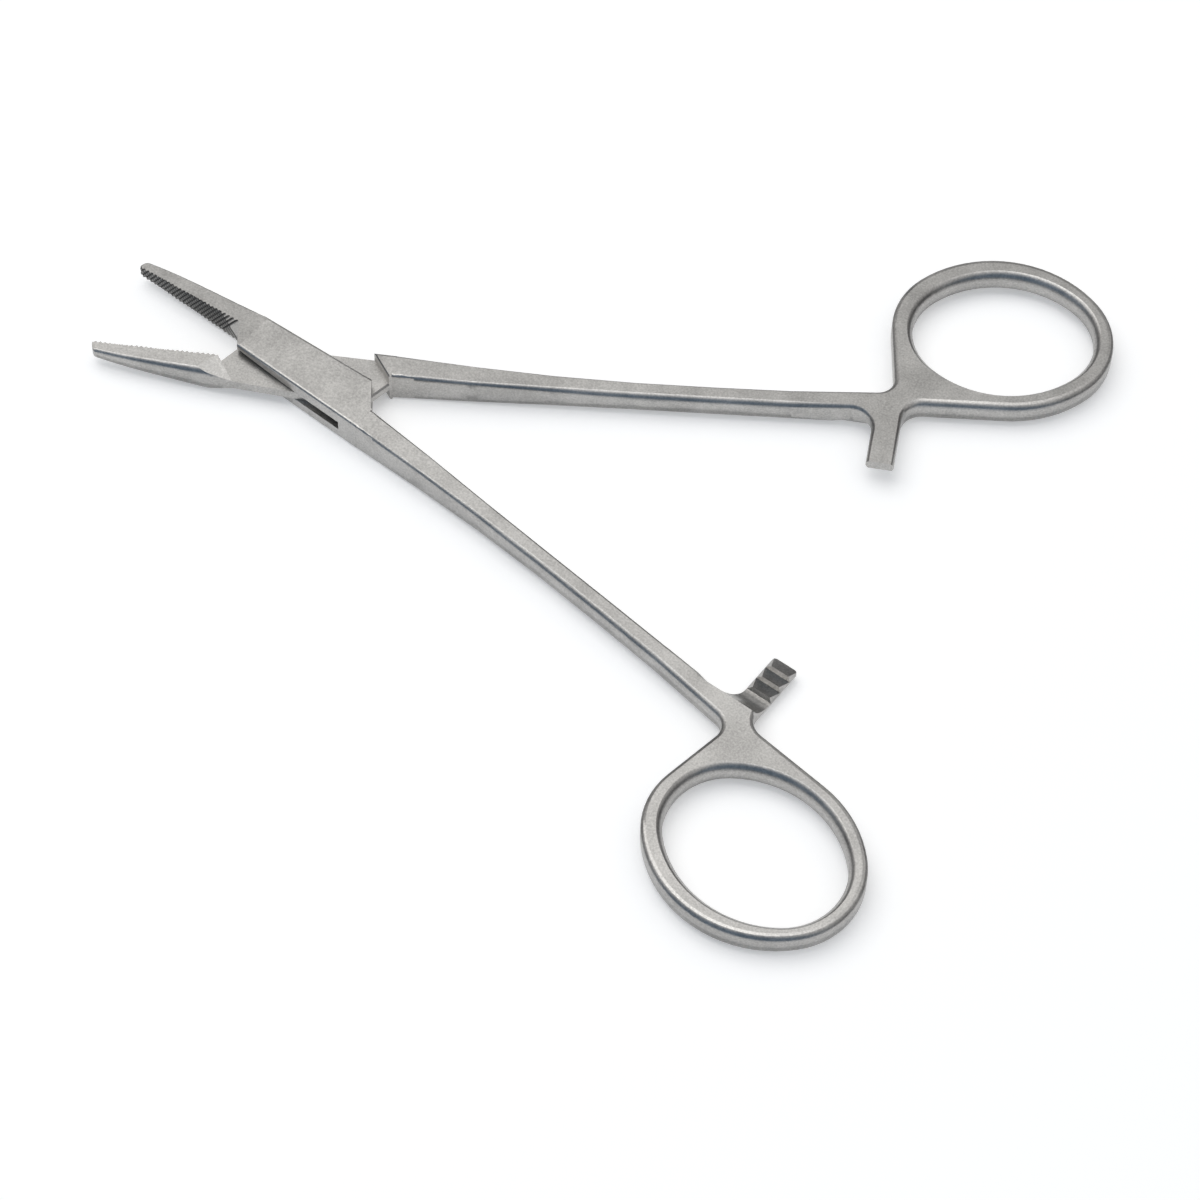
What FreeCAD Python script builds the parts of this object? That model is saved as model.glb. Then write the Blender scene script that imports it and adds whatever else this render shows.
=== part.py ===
"""Surgical needle holder with a box lock, cross-cut jaws, a three-tooth ratchet and two finger rings.

Frame: X runs from the jaw tips towards the finger rings, Y is across, Z is up. The origin is on the
pivot axis, in the flat underside of the box lock that the instrument rests on.

Each half is drawn once in its own plane, as it lies when the jaw tips meet: the pivot at zero, the
jaw at negative X, the finger ring at positive X and at positive Y. Heights in that drawing are
counted from the middle plane of the forging. The female half is the same forging turned over about
the X axis. The lock then takes the plates off one half and the slot out of the other, and both
halves are opened about the pivot to the pose in the photograph.

A forging comes with round sides, and its flats are ground afterwards, so most long edges are a round
side that meets a flat at a low angle. Here such an edge is a fillet on a blank that is a little too
thick, and the flats are then cut down to size.
"""
import FreeCAD, Part
import math
import os

from FreeCAD import Vector as V

# Distances from the pivot axis
JAW_TIP = 29.6
HEEL = 11.7
BOX_END = 12.0
ARM_START = 77.1
OPEN_EACH_SIDE = 13.65

# Thicknesses
BOX_THICKNESS = 5.2
PALM_THICKNESS = 3.8
JAW_TIP_THICKNESS = 1.8
SLOT_HEIGHT = 1.6
LOCK_CLEARANCE = 0.05
SHOULDER_CLEARANCE = 0.15

# Pivot
PIN_DIAMETER = 3.2
PIN_CLEARANCE = 0.03

# Outline of the lock
FRONT_CORNER = (-9.35, 3.05)
REAR_NOTCH = (11.65, 0.1)
REAR_CORNER = (8.7, -3.75)
BOX_EDGE_RADIUS = 0.45

# Jaw: where the back bends, then blank sections as distance, width to the back and side radius
JAW_TAPER_START = 9.0
JAW_ROOT = 9.5
JAW_ROOT_WIDTH = 3.27
JAW_SECTIONS = [(0.2, 3.11, 0.95), (0.5, 2.66, 0.80), (0.8, 2.04, 0.55)]
JAW_TIP_WIDTH = 1.35
NOSE_RADIUS = 1.2
NOSE_WIDTH = 1.55
HEEL_GAP = 0.25
TIP_GAP = 0.01

# Cross cut of the gripping faces
CUT_PITCH = 0.68
CUT_ANGLE = 55.0
CUT_DEPTH = 0.24
CUT_LAND = 0.05
CUT_HEEL_MARGIN = 0.3

# Ramp and leaning shoulder at the root of the male jaw
RAMP_OUTER = (-14.1, -2.54)
RAMP_INNER = (-12.1, -0.32)
RAMP_FOOT = (-9.26, -3.27)
SHOULDER_LEAN = 16.0

# Relief under the female plates, where the web swings in: share of the outer side, width and depth
RELIEF_SHARE = 0.52
RELIEF_WIDTH = 1.1
RELIEF_DEPTH = 0.95

# Bevels of the male lock: the web's rear edge, and the top edge of the rear shoulder
WEB_BEVEL = 0.25
SHOULDER_BEVEL = 0.15

# Shank sections: share of its length, inner edge, outer edge, thickness, side radius
SHANK_SECTIONS = [(0.0, 0.28, 3.88, BOX_THICKNESS, BOX_EDGE_RADIUS),
                  (0.2, 1.30, 4.24, 4.55, 0.55),
                  (0.4, 2.46, 4.93, 4.1, 0.72),
                  (0.6, 3.59, 5.92, 3.85, 0.85),
                  (0.8, 4.76, 7.17, PALM_THICKNESS, 0.92),
                  (1.0, 6.00, 8.54, PALM_THICKNESS, 0.92)]
GROUND_OFF = 0.12
SEAM = 0.02

# Palm: the flat web that joins shank, ratchet arm and finger ring
PALM_LENGTH = 11.1
PALM_EDGE_RADIUS = 0.92
NECK_CORNER = (2.35, 10.75)
RING_CORNER = 9.2
INNER_FILLET = 3.0
RING_FILLET = 3.0
NECK_FILLET = 2.4

# Finger ring: an oval of four arcs, whose end radius is a share of its half width
FINGER_HOLE = {"female_half": (25.6, 20.5), "male_half": (25.0, 20.1)}
RING_END_WALL = 2.4
RING_SIDE_WALL = 2.5
RING_SETBACK = 0.3
RING_BASE = 10.65
HOLE_SHIFT = (0.15, -0.1)
HOLE_TILT = 5.0
HOLE_BEVEL = 0.45
OVAL_END_SHARE = 0.85

# Ratchet
ARM_WIDTH = 3.85
ARM_REACH = {"female_half": 2.5, "male_half": 1.6}
ARM_CORNER = {"female_half": 0.6, "male_half": 0.25}
TOOTH_COUNT = 3
TOOTH_PITCH = 2.06
TOOTH_DEPTH = 0.8
TOOTH_LEAN = 0.19
FIRST_CREST = -0.74
CREST_CLEARANCE = 0.06
TOOTH_BEVELS = (0.76, 0.35)
RUN_OUT_RADIUS = 4.0

# How far a cutting tool runs past the material
OVERRUN = 3.0


def polygon(points, z):
    """A closed plane face through the points at one height."""
    corners = [V(x, y, z) for x, y in points]
    return Part.Face(Part.makePolygon(corners + corners[:1]))


def slab(points, bottom, top):
    """A flat plate with the given outline between two heights."""
    return polygon(points, bottom).extrude(V(0, 0, top - bottom))


def solid_face(corners):
    """A plane face through points in space."""
    return Part.Face(Part.makePolygon(corners + corners[:1]))


def on_line(first, second, share):
    """The point that lies a share of the way from the first point to the second."""
    return tuple(a + (b - a) * share for a, b in zip(first, second))


def around(centre, radius, angle):
    """The point of a circle at an angle in degrees."""
    turn = math.radians(angle)
    return centre[0] + radius * math.cos(turn), centre[1] + radius * math.sin(turn)


def arc_edge(centre, radius, start, end, z):
    """A circular arc in a level plane, anticlockwise from one angle to another."""
    points = [V(*around(centre, radius, angle), z) for angle in (start, (start + end) / 2, end)]
    return Part.Arc(*points).toShape()


def line_edge(first, second, z):
    """A straight edge in a level plane."""
    return Part.LineSegment(V(*first, z), V(*second, z)).toShape()


def level_edges(shape, height):
    """The edges that lie flat at a height above or below the middle plane."""
    found = []
    for edge in shape.Edges:
        box = edge.BoundBox
        if box.ZLength < 1e-4 and abs(abs(box.ZMin) - height) < 1e-4:
            found.append(edge)
    return found


def upright_edges(shape, corner):
    """The edge that stands upright at a corner of the outline."""
    found = []
    for edge in shape.Edges:
        middle = edge.BoundBox.Center
        if edge.BoundBox.ZLength > 1 and math.hypot(middle.x - corner[0], middle.y - corner[1]) < 0.01:
            found.append(edge)
    return found


def jaw_slope():
    """How much the jaw's half thickness falls for each millimetre towards the tip."""
    return (BOX_THICKNESS - JAW_TIP_THICKNESS) / 2 / (JAW_TIP - JAW_TAPER_START)


def jaw_half(distance):
    """Half of the jaw's thickness at a distance from the pivot."""
    return BOX_THICKNESS / 2 - jaw_slope() * (distance - JAW_TAPER_START)


def lock_block():
    """The block of the lock, up to the shank and down to the root of the jaw."""
    half = BOX_THICKNESS / 2
    inner, outer = SHANK_SECTIONS[0][1:3]
    heel, root = (-HEEL, -HEEL_GAP), (-JAW_ROOT, -JAW_ROOT_WIDTH)
    end_outer, end_inner = (BOX_END, outer), (BOX_END, inner)
    chain = [end_outer, end_inner, REAR_NOTCH, REAR_CORNER, root, heel, FRONT_CORNER]
    block = slab(chain, -half, half)
    back = on_line(REAR_CORNER, root, 0.5)
    side = on_line(FRONT_CORNER, end_outer, 0.5)
    long_edges = [edge for edge in level_edges(block, half) if near(edge, back) or near(edge, side)]
    return block.makeFillet(BOX_EDGE_RADIUS, long_edges)


def near(edge, point):
    """Whether an edge's middle lies over a point of the drawing."""
    middle = edge.BoundBox.Center
    return math.hypot(middle.x - point[0], middle.y - point[1]) < 0.1


def jaw():
    """The jaw's blank with its round back, before its flats and its gripping face are cut."""
    face = -0.5 * HEEL_GAP + 0.5
    length = JAW_TIP - JAW_ROOT
    sections = [(JAW_ROOT, JAW_ROOT_WIDTH - SEAM, BOX_EDGE_RADIUS, BOX_THICKNESS / 2 - SEAM)]
    for share, width, radius in JAW_SECTIONS:
        distance = JAW_ROOT + share * length
        sections.append((distance, width, radius, jaw_half(distance) + GROUND_OFF * radius))
    last_radius = JAW_SECTIONS[-1][2] / 2
    sections.append((JAW_TIP, JAW_TIP_WIDTH, last_radius, jaw_half(JAW_TIP) + GROUND_OFF * last_radius))
    wires = []
    for distance, width, radius, half in sections:
        wires.append(round_backed_section(-distance, face, -width, half, radius))
    return Part.makeLoft(wires, True, False)


def round_backed_section(x, face, back, half, radius):
    """A section across the jaw: square towards the gripping face, round towards the back."""
    upper = quarter(x, back + radius, half - radius, radius, 180, 90)
    lower = quarter(x, back + radius, radius - half, radius, 270, 180)
    corners = [upper.Vertexes[-1].Point, V(x, face, half), V(x, face, -half), lower.Vertexes[0].Point]
    edges = [upper]
    for first, second in zip(corners, corners[1:]):
        edges.append(Part.LineSegment(first, second).toShape())
    edges.append(lower)
    edges.append(Part.LineSegment(lower.Vertexes[-1].Point, upper.Vertexes[0].Point).toShape())
    return Part.Wire(edges)


def quarter(x, y, z, radius, start, end):
    """An arc in a plane across the half, about a centre, between two angles from the Y direction."""
    points = []
    for angle in (start, (start + end) / 2, end):
        turn = math.radians(angle)
        points.append(V(x, y + radius * math.cos(turn), z + radius * math.sin(turn)))
    return Part.Arc(*points).toShape()


def taper_flats(body):
    """Grind the two flats of the jaw, which close towards the tip."""
    reach = JAW_TIP + OVERRUN
    side = 3 * JAW_ROOT_WIDTH
    for sign in (1, -1):
        foot = V(-JAW_TAPER_START, -side, sign * BOX_THICKNESS / 2)
        end = V(-reach, -side, sign * jaw_half(reach))
        high = sign * (BOX_THICKNESS / 2 + OVERRUN)
        wedge = solid_face([foot, end, V(-reach, -side, high), V(-JAW_TAPER_START, -side, high)])
        body = body.cut(wedge.extrude(V(0, 2 * side, 0)))
    return body


def gripping_face(body):
    """Cut the jaw back to its gripping face and round its nose in plan."""
    heel, tip = (-HEEL, -HEEL_GAP), (-JAW_TIP, -TIP_GAP)
    beyond = on_line(heel, tip, (JAW_TIP - HEEL + OVERRUN) / (JAW_TIP - HEEL))
    shoulder = on_line(heel, FRONT_CORNER, 0.4)
    waste = [heel, shoulder, (beyond[0], shoulder[1]), beyond]
    body = body.cut(slab(waste, -BOX_THICKNESS, BOX_THICKNESS))
    centre = (-JAW_TIP + NOSE_RADIUS, -NOSE_WIDTH + NOSE_RADIUS)
    low = -NOSE_WIDTH - OVERRUN
    stock = Part.makeBox(NOSE_RADIUS + OVERRUN, centre[1] - low, 2 * BOX_THICKNESS,
                         V(-JAW_TIP - OVERRUN, low, -BOX_THICKNESS))
    nose = Part.makeCylinder(NOSE_RADIUS, 2 * BOX_THICKNESS, V(*centre, -BOX_THICKNESS))
    return body.cut(stock.cut(nose))


def cross_cut(body):
    """Cut the V grooves that cross on the gripping face and leave rows of small pyramids."""
    tilt = math.degrees(math.atan2(HEEL_GAP - TIP_GAP, JAW_TIP - HEEL))
    height = BOX_THICKNESS / 2
    swing = height / math.tan(math.radians(CUT_ANGLE))
    start = HEEL + CUT_HEEL_MARGIN + swing
    count = int((JAW_TIP + swing - start) / CUT_PITCH) + 1
    half_width = (CUT_PITCH * math.sin(math.radians(CUT_ANGLE)) - CUT_LAND) / 2
    for side in (1, -1):
        grooves = []
        for index in range(count):
            groove = v_groove(start + index * CUT_PITCH, swing, side, half_width, height)
            groove.rotate(V(-HEEL, 0, 0), V(0, 0, 1), -tilt)
            groove.translate(V(0, -HEEL_GAP, 0))
            grooves.append(groove)
        body = body.cut(grooves)
    return body


def v_groove(distance, swing, side, half_width, height):
    """One straight V groove across a face in the XZ plane, leaning to one side."""
    low = V(-distance - side * swing, 0, -height)
    run = V(2 * side * swing, 0, 2 * height)
    across = V(run.z, 0, -run.x).normalize() * half_width
    proud = CUT_DEPTH / 8
    wider = across * (1 + proud / CUT_DEPTH)
    corners = [low + wider + V(0, proud, 0), low - wider + V(0, proud, 0), low + V(0, -CUT_DEPTH, 0)]
    return solid_face(corners).extrude(run)


def shank_sections():
    """The sections of the shank, whose two ends lie a hair inside the lock block and the palm."""
    share, inner, outer, thickness, radius = SHANK_SECTIONS[0]
    first = (share, inner + SEAM, outer - SEAM, thickness - 2 * SEAM, radius)
    share, inner, outer, thickness, radius = SHANK_SECTIONS[-1]
    last = (share, inner + SEAM, outer - SEAM, thickness, radius)
    return [first] + SHANK_SECTIONS[1:-1] + [last]


def shank():
    """The tapering handle shank, through rounded sections that thin towards the ring."""
    length = ARM_START - PALM_LENGTH - BOX_END
    wires = []
    for share, inner, outer, thickness, radius in shank_sections():
        ground = GROUND_OFF * radius if share > 0 else 0
        wires.append(rounded_section(BOX_END + share * length, inner, outer, thickness / 2 + ground, radius))
    blank = Part.makeLoft(wires, True, True)
    return grind_shank(blank, length)


def grind_shank(blank, length):
    """Cut the flats of the shank along the line of its thicknesses."""
    for sign in (1, -1):
        points = [V(BOX_END + share * length, -OVERRUN, sign * thickness / 2)
                  for share, _, _, thickness, _ in shank_sections()]
        high = sign * BOX_THICKNESS
        points += [V(points[-1].x, -OVERRUN, high), V(points[0].x, -OVERRUN, high)]
        blank = blank.cut(solid_face(points).extrude(V(0, 6 * OVERRUN, 0)))
    return blank


def rounded_section(x, inner, outer, half, radius):
    """A rounded rectangle across the shank at a distance from the pivot."""
    arcs = [quarter(x, outer - radius, half - radius, radius, 0, 90),
            quarter(x, inner + radius, half - radius, radius, 90, 180),
            quarter(x, inner + radius, radius - half, radius, 180, 270),
            quarter(x, outer - radius, radius - half, radius, 270, 360)]
    edges = []
    for arc, following in zip(arcs, arcs[1:] + arcs[:1]):
        edges.append(arc)
        edges.append(Part.LineSegment(arc.Vertexes[-1].Point, following.Vertexes[0].Point).toShape())
    return Part.Wire(edges)


def oval(half_length, half_width):
    """The end radius, side radius and the two centre offsets of an oval made of four arcs."""
    end = OVAL_END_SHARE * half_width
    side = (half_length ** 2 + half_width ** 2 - 2 * half_length * end) / (2 * (half_width - end))
    return end, side, half_length - end, side - half_width


def ring_oval():
    """Half length, half width and centre of the finger ring's outline."""
    length, width = FINGER_HOLE["female_half"]
    half_length = length / 2 + RING_END_WALL
    half_width = width / 2 + RING_SIDE_WALL
    centre = (ARM_START + RING_SETBACK + half_length, RING_BASE + half_width)
    return half_length, half_width, centre


def tangent_angle(point, centre, radius, side):
    """The angle on a circle where a line from the point touches it."""
    gap = math.hypot(point[0] - centre[0], point[1] - centre[1])
    base = math.degrees(math.atan2(point[1] - centre[1], point[0] - centre[0]))
    return (base + side * math.degrees(math.acos(radius / gap))) % 360


def ring_edges(ring_corner, neck_corner, z):
    """The outside of the finger ring, from its straight inner side round to its straight neck side."""
    half_length, half_width, centre = ring_oval()
    end, side, along, up = oval(half_length, half_width)
    joint = math.degrees(math.atan2(up, along))
    below, above = (centre[0], centre[1] + up), (centre[0], centre[1] - up)
    right, left = (centre[0] + along, centre[1]), (centre[0] - along, centre[1])
    first = tangent_angle(ring_corner, below, side, 1)
    last = tangent_angle(neck_corner, left, end, -1)
    return [line_edge(ring_corner, around(below, side, first), z),
            arc_edge(below, side, first, 360 - joint, z),
            arc_edge(right, end, -joint, joint, z),
            arc_edge(above, side, joint, 180 - joint, z),
            arc_edge(left, end, 180 - joint, last, z),
            line_edge(around(left, end, last), neck_corner, z)]


def finger_hole(name):
    """The oval opening of a finger ring."""
    length, width = FINGER_HOLE[name]
    end, side, along, up = oval(length / 2, width / 2)
    joint = math.degrees(math.atan2(up, along))
    edges = [arc_edge((along, 0), end, -joint, joint, 0), arc_edge((0, -up), side, joint, 180 - joint, 0),
             arc_edge((-along, 0), end, 180 - joint, 180 + joint, 0),
             arc_edge((0, up), side, 180 + joint, 360 - joint, 0)]
    rim = Part.Wire(edges)
    hole = Part.Face(rim).extrude(V(0, 0, PALM_THICKNESS))
    wide = rim.makeOffset2D(HOLE_BEVEL)
    for level, sign in ((0, 1), (PALM_THICKNESS, -1)):
        low, high = wide.copy(), rim.copy()
        low.translate(V(0, 0, level))
        high.translate(V(0, 0, level + sign * HOLE_BEVEL))
        hole = hole.fuse(Part.makeLoft([low, high], True, True))
    hole.rotate(V(0, 0, 0), V(0, 0, 1), HOLE_TILT)
    centre = ring_oval()[2]
    hole.translate(V(centre[0] + HOLE_SHIFT[0], centre[1] + HOLE_SHIFT[1], -PALM_THICKNESS / 2))
    return hole


def palm_and_ring(name):
    """The flat end of a forging: palm, ratchet arm and finger ring, with rounded edges."""
    half = PALM_THICKNESS / 2 + GROUND_OFF * PALM_EDGE_RADIUS
    start = ARM_START - PALM_LENGTH
    back = OVERRUN
    before, last = SHANK_SECTIONS[-2:]
    step = (last[0] - before[0]) * (start - BOX_END)
    inner_slope = (last[1] - before[1]) / step
    outer_slope = (last[2] - before[2]) / step
    inner_root = (start - back, last[1] - back * inner_slope)
    outer_root = (start - back, last[2] - back * outer_slope)
    outer_start = (start, last[2])
    inner_corner = (ARM_START, last[1] + PALM_LENGTH * inner_slope)
    arm_outer = ARM_START + ARM_WIDTH
    ring_corner = (arm_outer, RING_CORNER)
    neck_corner = (ARM_START + NECK_CORNER[0], NECK_CORNER[1])
    long_end = -ARM_REACH[name] - OVERRUN
    chain = [neck_corner, outer_start, outer_root, inner_root, inner_corner, (ARM_START, long_end),
             (arm_outer, long_end), ring_corner]
    edges = [line_edge(first, second, -half) for first, second in zip(chain, chain[1:])]
    edges += ring_edges(ring_corner, neck_corner, -half)
    body = Part.Face(Part.Wire(edges)).extrude(V(0, 0, 2 * half))
    for corner, radius in ((inner_corner, INNER_FILLET), (ring_corner, RING_FILLET),
                           (neck_corner, NECK_FILLET)):
        body = body.makeFillet(radius, upright_edges(body, corner))
    rounded = [edge for edge in level_edges(body, half)
               if edge.BoundBox.YMax > long_end + 0.01 and edge.BoundBox.XMax > start - back + 0.01]
    body = body.makeFillet(PALM_EDGE_RADIUS, rounded)
    reach = 2 * ring_oval()[0] + PALM_LENGTH + OVERRUN
    keep = Part.makeBox(reach, 3 * reach, PALM_THICKNESS, V(start, -reach, -PALM_THICKNESS / 2))
    return body.common(keep).cut(finger_hole(name)).cut(arm_end(name))


def arm_end(name):
    """What is taken off the end of a ratchet arm, which leaves it with two rounded corners."""
    corner, reach = ARM_CORNER[name], ARM_REACH[name]
    end = Part.makeBox(ARM_WIDTH, OVERRUN, 2 * BOX_THICKNESS, V(ARM_START, -reach, -BOX_THICKNESS))
    for x in (ARM_START, ARM_START + ARM_WIDTH):
        end = end.makeFillet(corner, upright_edges(end, (x, -reach)))
    stock = Part.makeBox(ARM_WIDTH + 2 * corner, 2 * OVERRUN + corner, 2 * BOX_THICKNESS,
                         V(ARM_START - corner, -reach - 2 * OVERRUN, -BOX_THICKNESS))
    return stock.cut(end)


def ratchet_cut(name):
    """What is milled off under the arm: saw teeth with steep faces towards the ring, and a run-out."""
    half = PALM_THICKNESS / 2
    root = CREST_CLEARANCE + TOOTH_DEPTH
    slope = TOOTH_DEPTH / (TOOTH_PITCH - TOOTH_LEAN)
    end = -ARM_REACH[name] - 1
    points = [(end, CREST_CLEARANCE + (FIRST_CREST - end) * slope)]
    for index in range(TOOTH_COUNT):
        crest = FIRST_CREST + index * TOOTH_PITCH
        points.append((crest, CREST_CLEARANCE))
        points.append((crest + TOOTH_LEAN, root))
    last = points[-1]
    centre = (last[0], root - RUN_OUT_RADIUS)
    low = -half - 1
    finish = (last[0] + math.sqrt(RUN_OUT_RADIUS ** 2 - (low - centre[1]) ** 2), low)
    through = around(centre, RUN_OUT_RADIUS, 45)
    x = ARM_START - PALM_LENGTH / 2
    edges = []
    for first, second in zip(points, points[1:]):
        edges.append(Part.LineSegment(V(x, *first), V(x, *second)).toShape())
    edges.append(Part.Arc(V(x, *last), V(x, *through), V(x, *finish)).toShape())
    edges.append(Part.LineSegment(V(x, *finish), V(x, end, low)).toShape())
    edges.append(Part.LineSegment(V(x, end, low), V(x, *points[0])).toShape())
    return Part.Face(Part.Wire(edges)).extrude(V(PALM_LENGTH, 0, 0))


def tooth_bevels(name):
    """The two long bevels that take the ends off the teeth."""
    root = CREST_CLEARANCE + TOOTH_DEPTH
    low = -PALM_THICKNESS
    begin = -ARM_REACH[name] - 1
    length = FIRST_CREST + (TOOTH_COUNT - 1) * TOOTH_PITCH + TOOTH_LEAN - begin
    cuts = []
    for edge, inwards, width in ((ARM_START, 1, TOOTH_BEVELS[0]), (ARM_START + ARM_WIDTH, -1, TOOTH_BEVELS[1])):
        steep = (root - low) / (root - CREST_CLEARANCE) * width
        corners = [V(edge - inwards, begin, root), V(edge, begin, root),
                   V(edge + inwards * steep, begin, low), V(edge - inwards, begin, low)]
        cuts.append(solid_face(corners).extrude(V(0, length, 0)))
    return cuts


def forging(name):
    """One half before the lock is cut: jaw, lock block, shank, palm, ratchet arm and finger ring."""
    handle = shank().fuse(palm_and_ring(name)).cut(ratchet_cut(name)).cut(tooth_bevels(name))
    front = gripping_face(taper_flats(lock_block().fuse(jaw())))
    return front.fuse(handle).removeSplitter()


def shoulder_lines(clearance):
    """The front and rear shoulder lines of the other half, seen from this one with the jaws closed."""
    front = shifted_line((-HEEL, HEEL_GAP), (FRONT_CORNER[0], -FRONT_CORNER[1]), -clearance)
    rear = shifted_line((REAR_NOTCH[0], -REAR_NOTCH[1]), (REAR_CORNER[0], -REAR_CORNER[1]), clearance)
    return front, rear


def lock_region(half_height, clearance):
    """The space between the two shoulder lines, in which the other half turns."""
    front, rear = shoulder_lines(clearance)
    points = [on_line(*front, -2), on_line(*front, 3), on_line(*rear, -2), on_line(*rear, 3)]
    return slab(points, -half_height, half_height)


def shifted_line(first, second, distance):
    """The line through two points, moved along X so that it lies a distance away."""
    length = math.hypot(second[0] - first[0], second[1] - first[1])
    along = distance * length / abs(second[1] - first[1])
    return (first[0] + along, first[1]), (second[0] + along, second[1])


def male_ramps(web):
    """What is ground off the root of the male jaw: a ramp down to the web, and a leaning shoulder."""
    outer = V(*RAMP_OUTER, jaw_half(-RAMP_OUTER[0]))
    inner = V(*RAMP_INNER, jaw_half(-RAMP_INNER[0]))
    foot = V(*RAMP_FOOT, web)
    corners = [outer + (outer - inner) * 2, inner + (inner - outer) * 2, foot + (inner - outer) * 2,
               foot + (outer - inner) * 2]
    ramp = solid_face(corners).extrude(V(0, 0, BOX_THICKNESS))
    front = shoulder_lines(SHOULDER_CLEARANCE)[0]
    low, far = on_line(*front, -1), on_line(*front, 3)
    lean = math.tan(math.radians(SHOULDER_LEAN)) * BOX_THICKNESS
    wall = [V(*low, web), V(low[0] - lean, low[1], web + BOX_THICKNESS), V(*low, web + BOX_THICKNESS)]
    shoulder = solid_face(wall).extrude(V(far[0] - low[0], far[1] - low[1], 0))
    cuts = [ramp, shoulder]
    for cut in (ramp, shoulder):
        cuts.append(cut.mirror(V(0, 0, 0), V(0, 0, 1)))
    return cuts


def plate_reliefs():
    """The shallow wedges under the plates' outer edge, deepest at the front corner."""
    level = SLOT_HEIGHT / 2
    corner = V(*FRONT_CORNER, level)
    tail = V(*on_line(FRONT_CORNER, (BOX_END, SHANK_SECTIONS[0][2]), RELIEF_SHARE), level)
    inwards = (V(-HEEL, -HEEL_GAP, level) - corner).normalize() * RELIEF_WIDTH
    beyond = 1.25
    apex = tail + (corner - tail) * beyond
    wedge = tetrahedron(tail, apex + inwards * beyond, apex + V(0, 0, RELIEF_DEPTH * beyond), apex - inwards)
    return [wedge, wedge.mirror(V(0, 0, 0), V(0, 0, 1))]


def bevel(first, second, level, width):
    """The prism that bevels a straight edge at a height; the material is on the left of the edge."""
    along = V(second[0] - first[0], second[1] - first[1], 0)
    out = V(along.y, -along.x, 0).normalize() * width
    up = V(0, 0, width)
    edge = V(*first, level)
    prism = solid_face([edge - out * 2 + up, edge + out - up * 2, edge + out + up]).extrude(along)
    return [prism, prism.mirror(V(0, 0, 0), V(0, 0, 1))]


def tetrahedron(*points):
    """A solid with four corners."""
    faces = []
    for skipped in range(4):
        corners = [point for index, point in enumerate(points) if index != skipped]
        faces.append(solid_face(corners))
    return Part.Solid(Part.Shell(faces))


def female_half():
    """The half with the box: a slot through the block, for the web of the other half."""
    body = forging("female_half")
    body = body.cut(lock_region(SLOT_HEIGHT / 2, SHOULDER_CLEARANCE)).cut(plate_reliefs())
    bore = Part.makeCylinder(PIN_DIAMETER / 2, 2 * BOX_THICKNESS, V(0, 0, -BOX_THICKNESS))
    body = cross_cut(body.cut(bore))
    body.rotate(V(0, 0, 0), V(1, 0, 0), 180)
    body.rotate(V(0, 0, 0), V(0, 0, 1), -OPEN_EACH_SIDE)
    return body


def male_half():
    """The half with the web: the plates' thickness is taken off above and below."""
    body = forging("male_half")
    web = SLOT_HEIGHT / 2 - LOCK_CLEARANCE
    window = lock_region(BOX_THICKNESS, SHOULDER_CLEARANCE)
    window = window.cut(lock_region(web, SHOULDER_CLEARANCE))
    rear = shoulder_lines(SHOULDER_CLEARANCE)[1]
    body = body.cut(window).cut(male_ramps(web))
    body = body.cut(bevel(on_line(REAR_CORNER, REAR_NOTCH, -0.2), REAR_NOTCH, web, WEB_BEVEL))
    body = body.cut(bevel(on_line(*rear, 1.2), on_line(*rear, -0.1), BOX_THICKNESS / 2, SHOULDER_BEVEL))
    bore = Part.makeCylinder(PIN_DIAMETER / 2 + PIN_CLEARANCE, 2 * BOX_THICKNESS, V(0, 0, -BOX_THICKNESS))
    body = cross_cut(body.cut(bore))
    body.rotate(V(0, 0, 0), V(0, 0, 1), OPEN_EACH_SIDE)
    return body


def pivot_pin():
    """The rivet through both plates and the web, ground flush with the plates."""
    return Part.makeCylinder(PIN_DIAMETER / 2, BOX_THICKNESS, V(0, 0, -BOX_THICKNESS / 2))


def main():
    """Build each piece, set it on the resting plane and write it."""
    os.makedirs("parts", exist_ok=True)
    pieces = {"female_half": female_half(), "male_half": male_half(), "pivot_pin": pivot_pin()}
    for name, shape in pieces.items():
        shape.translate(V(0, 0, BOX_THICKNESS / 2))
        shape.exportStep("parts/" + name + ".step")
        box = shape.BoundBox
        print(name, shape.isValid(), len(shape.Solids), round(shape.Volume, 1), len(shape.Faces),
              [round(v, 2) for v in (box.XMin, box.YMin, box.ZMin, box.XMax, box.YMax, box.ZMax)])
    common = pieces["female_half"].common(pieces["male_half"])
    print("overlap at rest", round(common.Volume, 4))


main()
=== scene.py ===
"""Looks of the surgical needle holder: satin steel halves, the rivet, a pale floor and soft studio light.

Everything is in metres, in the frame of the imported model: X runs from the jaw tips to the finger rings,
Z is up, and the origin is on the pivot axis at the underside of the box lock. Each half also has its own
frame, in which both are drawn alike: the shank runs along X, the ring is at positive Y, and Z is measured
from the middle of the thickness. The places below are in that frame.
"""
import math

import bmesh
import bpy
import numpy as np
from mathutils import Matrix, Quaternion, Vector


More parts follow.
